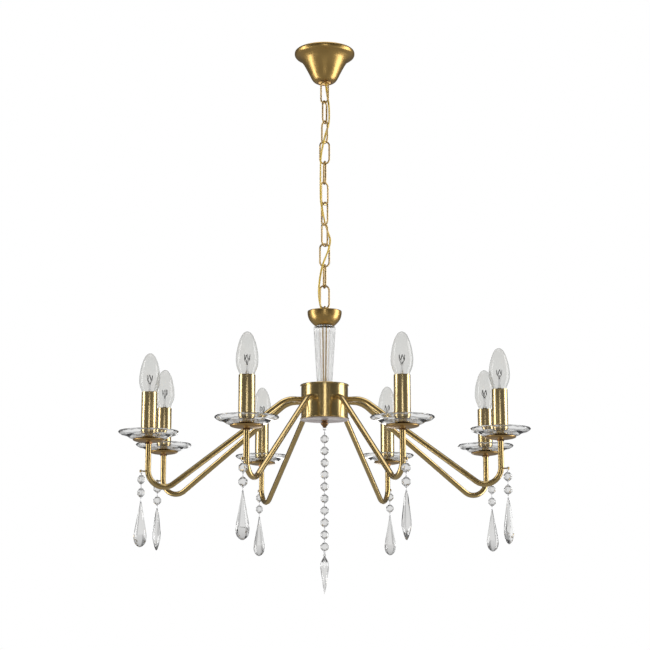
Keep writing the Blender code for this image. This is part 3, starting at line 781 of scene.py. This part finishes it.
def dish_shape():
    """A cut crystal dish: kite facets underneath, a bevelled rim, and a smooth hollow on top."""
    step = 2 * math.pi / DISH_SIDES
    rows = [  # each row's radius, its height and its turn in steps, from the bore's foot round to its top
        (8.0, -709.1, 0.0), (24.0, -709.1, 0.0), (31.0, -707.6, 0.5), (38.0, -702.8, 0.0),
        (44.5, -702.0, 0.5), (48.8, -699.2, 0.0), (50.0, -697.4, 0.5), (48.6, -695.8, 0.0),
        (45.5, -695.4, 0.5), (40.0, -699.2, 0.0), (32.0, -701.6, 0.5), (24.0, -705.6, 0.0),
        (14.0, -706.2, 0.0), (8.0, -706.2, 0.0),
    ]
    points = []
    for radius, level, shift in rows:
        for i in range(DISH_SIDES):
            angle = (i + shift) * step
            points.append(Vector((radius * math.cos(angle), radius * math.sin(angle), level)))
    faces = []
    count = len(rows)
    for row in range(count):
        after = (row + 1) % count
        one, two = row * DISH_SIDES, after * DISH_SIDES
        turned = rows[after][2] - rows[row][2]
        for i in range(DISH_SIDES):
            j = (i + 1) % DISH_SIDES
            if turned > 0.1:
                faces += [[one + i, one + j, two + i], [one + j, two + j, two + i]]
            elif turned < -0.1:
                faces += [[one + i, two + j, two + i], [one + i, one + j, two + j]]
            else:
                faces.append([one + i, one + j, two + j, two + i])
    return points, faces


BULB_OUTLINE = [  # radius and height from the tip
    (1.6, -0.15), (3.2, -0.65), (4.6, -1.45), (6.2, -2.85), (7.9, -5.0), (9.8, -8.4), (11.9, -13.4),
    (13.6, -18.8), (15.2, -25.2), (16.4, -31.5), (17.2, -38), (17.5, -44), (17.1, -50), (15.9, -55.4),
    (13.9, -60.6), (11.9, -65.4), (10.4, -70), (9.5, -75),
]
BULB_WALL = 0.28
CAGE_R = 4.4
CAGE_TURN = 1.75 * math.pi  # how far round the filament zigzags
CAGE_LEGS = 8
CAGE_LOW = 44.8  # from the tip down
CAGE_HIGH = 36.2  # from the tip down
THREAD_R = 6.9
THREAD_ROOT_R = 6.3
THREAD_PITCH = 2.8


def bulb_shapes(tip):
    """Glass, inner stem, filament wires, screw base and its dark tip, on Z below the tip's height."""
    outer = [(r, tip + z) for r, z in smooth(BULB_OUTLINE, 2)]
    inner = shelled(outer, BULB_WALL)[len(outer):]
    skin = lathe([(0, tip), *outer, *inner[:-1], (0, tip - BULB_WALL)], 72)
    flare = [
        (0, -50.5), (1.5, -50.7), (2.0, -51.6), (1.9, -54), (1.6, -58), (1.9, -62), (3.0, -67), (5.2, -72.5),
        (6.6, -75.5), (0, -75.5),
    ]
    stem = lathe([(r, tip + z) for r, z in flare], 40)
    wires = []
    for side in (-1, 1):
        lead = [(side * 1.1, 0, tip - 52), (side * 1.9, 0, tip - 49), (side * 3.6, 0, tip - CAGE_LOW)]
        wires.append(sweep(smooth(lead, 4), circle(0.35, 8)))
    cage = []
    for i in range(CAGE_LEGS + 1):
        angle = CAGE_TURN * i / CAGE_LEGS
        level = tip - (CAGE_HIGH if i % 2 else CAGE_LOW)
        cage.append((CAGE_R * math.cos(angle), CAGE_R * math.sin(angle), level))
    wires.append(sweep(smooth(cage, 6), circle(0.42, 6)))
    for angle in (0.6, 1.5, 2.4, 3.4, 4.4):
        out = Vector((math.cos(angle), math.sin(angle), 0))
        support = [out * r + Vector((0, 0, tip - down)) for r, down in ((0.6, 51), (2.2, 47), (4.3, 45.2))]
        wires.append(sweep(smooth(support, 3), circle(0.26, 6)))
    shell = [(0, -74.6), (9.0, -74.6), (9.6, -75.2), (9.6, -76.2), (7.2, -77.4)]
    for turn in range(6):
        level = -78.6 - THREAD_PITCH * turn
        shell += [
            (THREAD_ROOT_R, level + 0.7), (THREAD_R, level), (THREAD_R, level - 0.5),
            (THREAD_ROOT_R, level - 1.3),
        ]
    shell += [(6.2, -96), (5.0, -97.4), (0, -97.4)]
    base = lathe([(r, tip + z) for r, z in shell], 48)
    foot = [(0, -97.3), (5.0, -97.3), (4.4, -98.6), (3.0, -99.4), (2.6, -100.3), (0, -100.5)]
    foot = lathe([(r, tip + z) for r, z in foot], 32)
    return skin, stem, joined(*wires), base, foot


def sleeve_shape():
    top, bottom = high("candle_sleeve_1"), low("candle_sleeve_1")
    r, wall = SLEEVE_R, SLEEVE_WALL
    line = [
        (r, bottom), (r - wall, bottom), (r - wall, top - 0.3), (r - wall / 2, top), (r - 0.15, top - 0.12),
        (r, top - 0.5),
    ]
    return lathe(line, 72, True)


def holder_shape():
    """The lampholder inside the sleeve: a moulded cup with its threaded liner's lip."""
    bottom = low("candle_sleeve_1") + 2
    line = [
        (0, bottom), (10.6, bottom), (11, bottom + 0.6), (11, -650), (10.4, -644.6), (9.9, -644),
        (7.9, -644), (7.6, -645), (7.6, -666.5), (0, -666.5),
    ]
    return lathe(line, 48)


# ---- Cut crystal

BEAD_R = 7.0
PIN_INSET = 0.8  # how far a wire's eye reaches into a stone


def bead_shape():
    """An octagon bead standing on edge, face along Y: table, star and kite facets on both sides."""
    corners = []
    for side in (-1, 1):
        for i in range(8):
            for radius, depth, turn in ((7.5, 0.7, 0.5), (5.9, 2.35, 0.0), (3.7, 3.5, 0.5)):
                angle = (i + turn) * math.pi / 4
                corners.append((radius * math.cos(angle), side * depth, radius * math.sin(angle)))
    return hull(corners)


TEAR_TOP = -812.0
TEAR_HEIGHT = 72.5


def teardrop_shape():
    """A pear prism: a long table on each face, bevels to a sharp girdle, and a faceted foot."""
    rows = [  # share of the height down, half width, table's half width, half depth
        (0.0, 1.0, 0.5, 0.9), (0.05, 1.6, 0.7, 2.4), (0.10, 2.1, 0.9, 3.2), (0.16, 2.6, 1.1, 2.9),
        (0.22, 3.3, 1.3, 2.5), (0.34, 4.9, 2.0, 4.0), (0.48, 7.0, 3.0, 5.9), (0.60, 8.9, 3.9, 7.0),
        (0.71, 10.2, 4.6, 6.9), (0.79, 10.6, 4.8, 5.7), (0.87, 9.8, 4.3, 4.2), (0.93, 7.9, 3.2, 3.0),
        (0.975, 4.7, 1.7, 1.8), (1.0, 1.4, 0.5, 0.8),
    ]
    corners = []
    for number, (down, wide, table, deep) in enumerate(rows):
        z = TEAR_TOP - TEAR_HEIGHT * down
        for front in (-1, 1):
            for side in (-1, 1):
                corners.append((side * table, front * deep, z))
                corners.append((side * wide * (0.80 if number % 2 else 0.76), front * deep * 0.62, z))
                corners.append((side * wide, front * deep * 0.12, z))
    return hull(corners)


def spear_shape(top, bottom, radius):
    """An eight-sided prism, widest near its top and drawn out to a point below."""
    corners = []
    height = top - bottom
    for down, share, turn in (
        (0.0, 0.16, 0.0), (0.05, 0.42, 0.5), (0.13, 0.8, 0.0), (0.2, 1.0, 0.5), (0.3, 0.98, 0.0),
        (0.55, 0.68, 0.5), (0.8, 0.34, 0.0), (0.95, 0.12, 0.5), (1.0, 0.03, 0.0),
    ):
        for i in range(8):
            angle = (i + turn) * math.pi / 4
            r = radius * share
            corners.append((r * math.cos(angle), r * math.sin(angle), top - height * down))
    return hull(corners)


def wire_link(top, bottom, turn):
    """A bent wire from one stone to the next: a straight pin with an eye at each end."""
    eye = min(1.3, (top - bottom) / 5)
    pin = sweep([(0, 0, top - 0.4), (0, 0, bottom + 0.4)], circle(0.38, 8))
    eyes = [ring(eye, 0.34, (0, 0, level), turn, 16) for level in (top - eye, bottom + eye)]
    return joined(pin, *eyes)


DROP_BEADS = (-775.5, -797.0)  # the height of each bead's middle
DROP_FACINGS = (-82, -97, -100, 10, -95, -84, -12, -45)  # degrees about Z, arm by arm
BEAD_FACINGS = (-70, -97, -60, -88, -120, -84, -100, -80)  # degrees about Z, arm by arm
RING_SAG = 1.3  # from the peg's middle line down to the middle of the drop's ring
BULB_SPIN = 37  # degrees from one arm's filament to the next, on top of the arm's own turn
STRAND_FIRST = -698.8
STRAND_PITCH = 20.34
STRAND_TURNS = (8, -14, 20, -6, 15, -22, 5, -12, 18, -4)  # degrees about Z, from the top bead down
SPEAR_TOP = -898.0
SPEAR_R = 7.45
SMALL_HALF = 2.6  # half the height of the small stone above the spear


def make_arms():
    """The eight arms with their dishes, candles, bulbs and drops, each set at its own height."""
    arm_radius = middle("candle_sleeve_1").length
    drop_radius = middle("crystal_drop_1").length
    collar, cup, nut, neck, peg = arm_shapes(arm_radius)
    dish, sleeve, holder = dish_shape(), sleeve_shape(), holder_shape()
    skin, stem, wires, base, foot = bulb_shapes(high("bulb_1"))
    bead, tear = bead_shape(), teardrop_shape()
    for i in range(8):
        number = i + 1
        at = middle(f"candle_sleeve_{number}")
        turn = math.degrees(math.atan2(at.y, at.x))
        body, bulb, drop = "fixture", f"bulb_{number}", f"drop_{number}"
        rise = low(f"candle_sleeve_{number}") - low("candle_sleeve_1")
        up = Vector((0, 0, rise))
        seat = up + Vector((0, 0, high(bulb) - high("bulb_1") - rise))
        tube = sweep(arm_route(arm_radius, rise), circle(ARM_TUBE_R, 28))
        piece(f"arm_tube_{number}", placed(tube, turn=turn), TUBE, body, [f"arm_{number}"])
        piece(f"arm_collar_{number}", placed(collar, turn=turn), TUBE, body)
        piece(f"drip_cup_{number}", placed(cup, up, turn), CUP_BRASS, body)
        # The nut under the drip cup is dark brass, and its darkness also stands in for the shade under the
        # cup: partly painted shade.
        piece(f"arm_nut_{number}", placed(nut, up, turn), DARK_BRASS, body)
        piece(f"candle_neck_{number}", placed(neck, up, turn), TUBE, body)
        piece(f"drop_peg_{number}", placed(peg, up, turn), TUBE, body)
        at_arm, at_bulb = at + up, at + seat
        piece(f"dish_{number}", placed(dish, at_arm, turn), DISH_GLASS, body,
              [f"bobeche_{number}"], 12)
        piece(f"sleeve_{number}", placed(sleeve, at_arm, turn), SLEEVE_BRASS_PAINTED_SHEEN, body,
              [f"candle_sleeve_{number}"])
        piece(f"lampholder_{number}", placed(holder, at_arm, turn), PORCELAIN, body)
        spin = turn + BULB_SPIN * i
        piece(f"bulb_skin_{number}", placed(skin, at_bulb, spin), BULB_GLASS, bulb, [bulb], 80)
        piece(f"bulb_stem_{number}", placed(stem, at_bulb, spin), STEM_GLASS, bulb, (), 50)
        piece(f"bulb_filament_{number}", placed(wires, at_bulb, spin), TUNGSTEN, bulb, (), 60)
        piece(f"bulb_screw_{number}", placed(base, at_bulb, spin), ZINC, bulb, (), 40)
        piece(f"bulb_contact_{number}", placed(foot, at_bulb, spin), DARK_BRASS, bulb, (), 40)

        angle = math.radians(turn)
        hang = Vector((math.cos(angle), math.sin(angle), 0)) * drop_radius + up
        face, bead_face = DROP_FACINGS[i] + 90, BEAD_FACINGS[i] + 90
        upper, lower = DROP_BEADS
        beads = [placed(bead, hang + Vector((0, 0, level)), bead_face) for level in (upper, lower)]
        piece(f"drop_beads_{number}", joined(*beads), CRYSTAL, drop, [f"crystal_drop_{number}"], 8)
        piece(f"teardrop_{number}", placed(tear, hang, face), CRYSTAL, drop, (), 8)
        ring_middle = PEG_LEVEL - RING_SAG
        links = [ring(3.3, 0.55, hang + Vector((0, 0, ring_middle)), turn + 90)]
        for above, below in (
            (ring_middle - 3.0, upper + BEAD_R - PIN_INSET),
            (upper - BEAD_R + PIN_INSET, lower + BEAD_R - PIN_INSET),
            (lower - BEAD_R + PIN_INSET, TEAR_TOP - PIN_INSET),
        ):
            links.append(placed(wire_link(above, below, 0), hang, bead_face))
        piece(f"drop_wires_{number}", joined(*links), SILVER, drop, (), 60)


def make_strand():
    """The string of beads under the finial, and the spear that swings at its end."""
    levels = [STRAND_FIRST - STRAND_PITCH * i for i in range(len(STRAND_TURNS))]
    bead = bead_shape()
    beads = [placed(bead, (0, 0, level), turn) for level, turn in zip(levels, STRAND_TURNS)]
    piece("strand_beads", joined(*beads), CRYSTAL, "strand", ["bead_strand"], 8)
    hoop = joint_level("strand_swing") - 2.4
    wires = [ring(3.0, 0.6, (0, 0, hoop), 90), wire_link(hoop - 2.6, levels[0] + BEAD_R - PIN_INSET, 0)]
    for above, below in zip(levels, levels[1:]):
        wires.append(wire_link(above - BEAD_R + PIN_INSET, below + BEAD_R - PIN_INSET, 20))
    end = levels[-1] - BEAD_R - 1.35
    wires.append(ring(1.6, 0.4, (0, 0, end)))
    piece("strand_wires", joined(*wires), SILVER, "strand", (), 60)

    hook = joint_level("spear_swing") - 1.2
    small = hook - 1.6 - 2.4
    corners = []
    for level, radius, turn in (
        (SMALL_HALF, 1.2, 0.0), (1.0, 2.5, 0.5), (-1.0, 2.5, 0.0), (-SMALL_HALF, 1.2, 0.5),
    ):
        for i in range(6):
            angle = (i + turn) * math.pi / 3
            corners.append((radius * math.cos(angle), radius * math.sin(angle), small + level))
    stones = joined(hull(corners), spear_shape(SPEAR_TOP, low("spear_drop"), SPEAR_R))
    piece("spear_stones", stones, CRYSTAL, "spear", ["spear_drop"], 8)
    wires = [ring(1.6, 0.4, (0, 0, hook), 90), wire_link(small - SMALL_HALF + 0.3, SPEAR_TOP - PIN_INSET, 0)]
    piece("spear_wires", joined(*wires), SILVER, "spear", (), 60)


make_world()
make_lights()
make_floor()
make_ceiling_end()
make_chain()
make_flex()
make_bowl_and_column()
make_hub()
make_finial()
make_arms()
make_strand()
